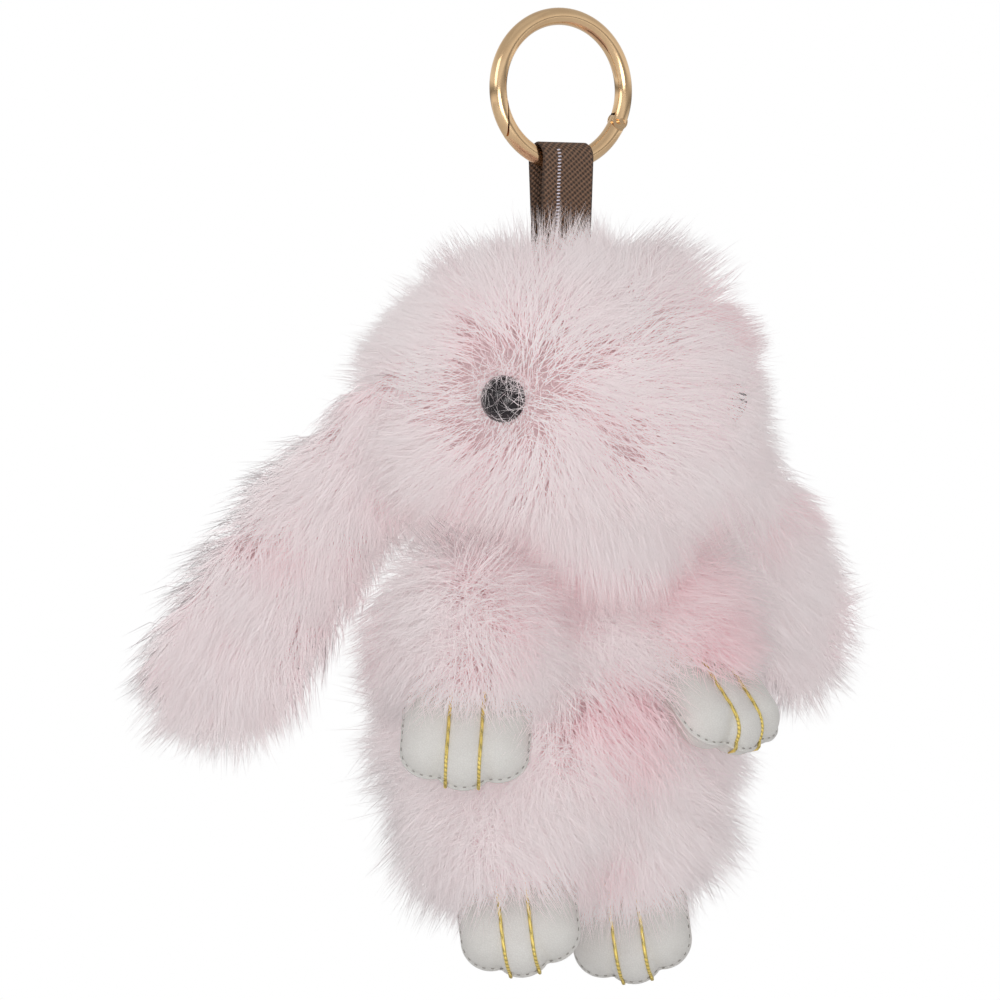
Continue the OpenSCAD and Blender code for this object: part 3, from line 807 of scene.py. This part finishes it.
# one closed leather form: top and sole are middle + rho sin(pi w / 2) (cos a, sin a) with heights
# +0.95 sqrt(q) and -0.8 sqrt(q), and a narrow sewn welt runs round the rim between them
def pawMesh(name, place, paw, across=192, down=40):
    middle = paw["middle"]
    angle = np.arange(across) * 2 * np.pi / across
    rho = pawRim(paw, angle, middle)
    w = np.arange(1, down + 1) / down
    part = np.sin(np.pi / 2 * w)[:, None] * rho[None]
    x = part * np.cos(angle)
    s = middle + part * np.sin(angle)
    height = np.sqrt(pawFullness(paw, x, s))
    height[-1] = 0
    out = np.stack([np.cos(angle), np.sin(angle)], -1)
    welt = 0.45 * smooth(s[-1], 9, 15)
    rimX, rimS = x[-1] + welt * out[:, 0], s[-1] + welt * out[:, 1]
    rows = [np.stack([x, -0.95 * height - 0.28, -s], -1)]
    rows.append(np.stack([rimX, -0.26 + 0 * rimX, -rimS], -1)[None])
    rows.append(np.stack([rimX, 0.26 + 0 * rimX, -rimS], -1)[None])
    rows.append(np.stack([x, 0.8 * height + 0.28, -s], -1)[::-1])
    rows = np.concatenate(rows)
    full = np.sqrt(pawFullness(paw, np.zeros(1), np.array([middle])))[0]
    poles = np.array([[0, -0.95 * full - 0.28, -middle], [0, 0.8 * full + 0.28, -middle]])
    centre = toWorld(place, np.array([0, 0, -middle]))
    return closedSkin(name, toWorld(place, rows), toWorld(place, poles), centre)


# claw thread: along a groove at x = c, just above the top surface, over the rim and under to the sole
def clawPath(paw, c, start):
    reach = paw["reach"] + paw["toe"]
    s = np.linspace(start, reach, 900)
    q = pawFullness(paw, np.full_like(s, c), s)
    tip = s[q > 0.4][-1]
    bend = np.sin(np.linspace(0.05, np.pi / 2, 30))
    s = np.concatenate([np.linspace(start, tip - 3, 30), tip - 3 + 3 * bend])
    h = 0.95 * np.sqrt(pawFullness(paw, np.full_like(s, c), s)) + 0.28 + 0.12
    path = np.stack([np.full_like(s, c), -h, -s], -1)
    under = np.array([[c, -0.3, -(tip + 0.75)], [c, 0.3, -(tip + 0.75)], [c, 1.6, -(tip + 0.1)]])
    return np.concatenate([path, under])


# stitches sewn round the paw's rim, each from one angle to a little further on
def pawStitches(name, place, paw):
    angles = np.linspace(-0.7, np.pi + 0.7, 2000)
    at = np.linspace(-0.62, np.pi + 0.62, 46)
    reach = np.interp(at, angles, pawRim(paw, angles, paw["middle"]))

    def onRim(a):
        rho = np.interp(a, at, reach) + 0.1
        local = [rho * np.cos(a), np.full_like(a, -0.36), -(paw["middle"] + rho * np.sin(a))]
        return toWorld(place, np.stack(local, -1))

    return stitchMesh(name, onRim(at), onRim(at + (at[1] - at[0]) * 0.4), 0.13)


sleeves = {"arm": {"full": 1.8, "strands": 15500, "pile": 15},
           "leg": {"full": 2.5, "strands": 12500, "pile": 17}}
for limb, its in limbs.items():
    print(limb)
    side, kind = limb.split("_")
    pawName = its["paw"]
    paw = paws[pawName]
    place = limbFrame(its["seam"], *its["turn"])
    r = its["radius"]
    base = side + kind.capitalize()
    pawBase = side + pawName.capitalize()
    cut = sleeves[kind]
    wide = r + cut["full"]
    sleeve = stuffed(place, [(0, 0, r), (0, 0, 0), (0, 0, -8), (0, 0, -17)],
                     [wide, wide + 0.4, wide, r + 0.6], [r + 1, r + 1.4, r + 1.2, r], 2.8)
    sewSkin(base + "Backing", sleeve, limb, limb + "_fur", 64, 48)
    coat = {**bodyCoat, "strands": cut["strands"], "length": cut["pile"], "lift": 0.55, "tipLift": 0.28}
    growFur(base + "Fur", limb, sleeve, coat, limbFlow(place, its["cuff"]), None, its["seed"])
    pad = dress(pawMesh(pawBase + "Leather", place, paw), leather, limb)
    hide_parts(*[side + "_" + pawName + "_" + x for x in ("top", "sole", "stuffing")])
    for which, c in (("A", -0.5), ("B", 0.5)):
        path = toWorld(place, clawPath(paw, c * paw["pitch"], 10))
        thread = threadMesh(pawBase + "Claw" + which, path, 0.3)
        dress(thread, claw, limb)
    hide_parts(side + "_" + pawName + "_claw_threads")
    stitches = dress(pawStitches(pawBase + "Stitches", place, paw), pawThread, limb)
    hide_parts(side + "_" + pawName + "_stitches")

print("strap")
strap = {"width": 10.0, "thick": 0.62, "loop": 2.45, "middle": -11.9, "crown": -33.0, "foot": 0.75,
         "length": 48.0, "straight": 0.42}


# the strap's line in the YZ plane: up the front leg, half a turn over the wire, down the back leg
def strapLine(count=121):
    t = np.linspace(0, 1, count)
    straight = strap["straight"]
    turn = np.clip((t - straight) / (1 - 2 * straight), 0, 1) * np.pi
    down = np.where(t < 0.5, t / straight, (1 - t) / straight)
    legZ = strap["crown"] + (strap["middle"] - strap["crown"]) * np.clip(down, 0, 1)
    bow = strap["foot"] + (strap["loop"] - strap["foot"]) * np.clip(down, 0, 1) ** 0.8
    y = np.where(t < straight, -bow, np.where(t > 1 - straight, bow, -strap["loop"] * np.cos(turn)))
    z = np.where((t < straight) | (t > 1 - straight), legZ, strap["middle"] + strap["loop"] * np.sin(turn))
    return y, z


# flat band: the line's points moved by +-thick/2 along its normal and across its width with a rounded edge
def strapMesh():
    y, z = strapLine()
    way = unit(np.stack([np.gradient(y), np.gradient(z)], -1))
    normal = np.stack([-way[:, 1], way[:, 0]], -1)
    half = 25
    around = 2 * half
    x = np.linspace(-0.5, 0.5, half)
    edge = np.sqrt(np.maximum(1 - np.maximum(np.abs(x) * 2 - 0.94, 0) ** 2 / 0.06 ** 2, 0.04))
    ringX = np.concatenate([x, x[::-1]]) * strap["width"]
    ringT = np.concatenate([edge, -edge[::-1]]) * strap["thick"] / 2
    points = np.stack([np.broadcast_to(ringX, (len(y), around)), y[:, None] + normal[:, :1] * ringT,
                       z[:, None] + normal[:, 1:] * ringT], -1)
    j = np.arange(half - 1)
    cap = np.stack([j, around - 1 - j, around - 2 - j, j + 1], -1)
    faces = np.concatenate([ringFaces(len(y), around), cap, (cap + (len(y) - 1) * around)[:, ::-1]])
    flat = points.reshape(-1, 3)
    faces = facedOut(flat, faces, points.mean(1)[faces[:, 0] // around])
    run = np.concatenate([[0], np.cumsum(np.hypot(np.diff(y), np.diff(z)))]) / strap["length"]
    column = np.broadcast_to(ringX / strap["width"] + 0.5, (len(y), around))
    chart = np.stack([column, np.broadcast_to(run[:, None], (len(y), around))], -1).reshape(-1, 2)
    return makeMesh("strapWebbingLoop", flat, faces, chart[faces.ravel()])


# a row of stitches on the strap's front face, each dx across and dz up
def stitchRow(x, z, dx, dz, lift):
    lineY, lineZ = (line[60:385] for line in strapLine(800))
    order = np.argsort(lineZ)
    y = np.interp(z, lineZ[order], lineY[order] - 0.36) - lift
    start = np.stack([np.full_like(z, x), y, z], -1)
    return start, start + np.array([dx, 0, dz])


band = dress(strapMesh(), webbing, "strap")
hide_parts("strap_webbing")
rungs = stitchRow(-2.3, np.arange(-31.5, -10.6, 0.58), 0.75, 0.08, 0.02)
tacks = stitchRow(1.5, np.arange(-32, -25.5, 0.8), 0, 0.6, 0.03)
ladder = stitchMesh("strapLadderStitch", *(np.concatenate(ends) for ends in zip(rungs, tacks)), 0.15)
dress(ladder, ladderThread, "strap")
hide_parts("strap_stitching")

print("light and camera")
studio = {"dome": 0.95, "floor": -0.26, "cameraAway": 1.25, "azimuth": -30.0, "frame": 0.172,
          "target": (-0.00909, 0.00525, -0.0707),
          "bands": [(0.0, 1.0), (0.42, 1.0), (0.5, 0.2), (0.57, 0.95), (0.8, 0.62), (1.0, 0.55)]}
scene = bpy.context.scene
scene.view_settings.view_transform = "Standard"
world = bpy.data.worlds.new("studioDome")
scene.world = world
world.use_nodes = True
sky = Graph(world.node_tree)
upward = sky.put("ShaderNodeSeparateXYZ", None, {0: sky.put("ShaderNodeTexCoord")}, 2)
stops = [(at, (level, level, level)) for at, level in studio["bands"]]
bands = sky.put("ShaderNodeValToRGB", {"stops": stops}, {0: upward * 0.5 + 0.5})
lit = sky.put("ShaderNodeBackground", None, {"Color": bands, "Strength": studio["dome"]})
seen = sky.put("ShaderNodeBackground", None, {"Color": (1, 1, 1), "Strength": 1.0})
choice = sky.put("ShaderNodeMixShader", None, {0: sky.put("ShaderNodeLightPath"), 1: lit, 2: seen})
sky.put("ShaderNodeOutputWorld", None, {"Surface": choice})


def aim(holder, way):
    forward = unit(np.array(way, float))
    right = unit(np.cross(forward, [0, 0, 1.0]))
    up = np.cross(right, forward)
    holder.rotation_euler = Matrix(np.stack([right, up, -forward], 1).tolist()).to_euler()


# an area light, away metres from the target, aimed back at it
def softLight(name, azimuth, elevation, away, size, power):
    a, e = np.radians([azimuth, elevation])
    way = np.array([np.sin(a) * np.cos(e), -np.cos(a) * np.cos(e), np.sin(e)])
    lamp = bpy.data.lights.new(name, "AREA")
    lamp.size = size
    lamp.energy = power
    holder = bpy.data.objects.new(name, lamp)
    scene.collection.objects.link(holder)
    holder.location = np.array(studio["target"]) + way * away
    aim(holder, -way)


softLight("keyLight", -62, 22, 1.0, 0.5, 1.3)
softLight("fillLight", -18, -12, 1.0, 0.6, 3.9)
softLight("topLight", -20, 75, 0.9, 0.6, 0.1)

floorMesh = bpy.data.meshes.new("studioFloor")
corners = [(x, y, studio["floor"]) for x, y in ((-1, -1), (1, -1), (1, 1), (-1, 1))]
floorMesh.from_pydata(corners, [], [(0, 1, 2, 3)])
floor = bpy.data.objects.new("studioFloor", floorMesh)
scene.collection.objects.link(floor)
paper = Finish("paperFloor", Roughness=0.9)
paperGrain = paper.noise(paper.place(1.0), 60.0)
paperColour = paper.mix(paperGrain, (0.9, 0.9, 0.9), (0.93, 0.93, 0.93))
floorMesh.materials.append(paper.feed(Base_Color=paperColour))

lens = bpy.data.cameras.new("productCamera")
lens.sensor_width = 36
lens.lens = 36 * studio["cameraAway"] / studio["frame"]
lens.clip_start = 0.05
lens.clip_end = 20
camera = bpy.data.objects.new("productCamera", lens)
scene.collection.objects.link(camera)
azimuth = np.radians(studio["azimuth"])
away = np.array([np.sin(azimuth), -np.cos(azimuth), 0.0])
camera.location = np.array(studio["target"]) + away * studio["cameraAway"]
aim(camera, -away)
scene.camera = camera
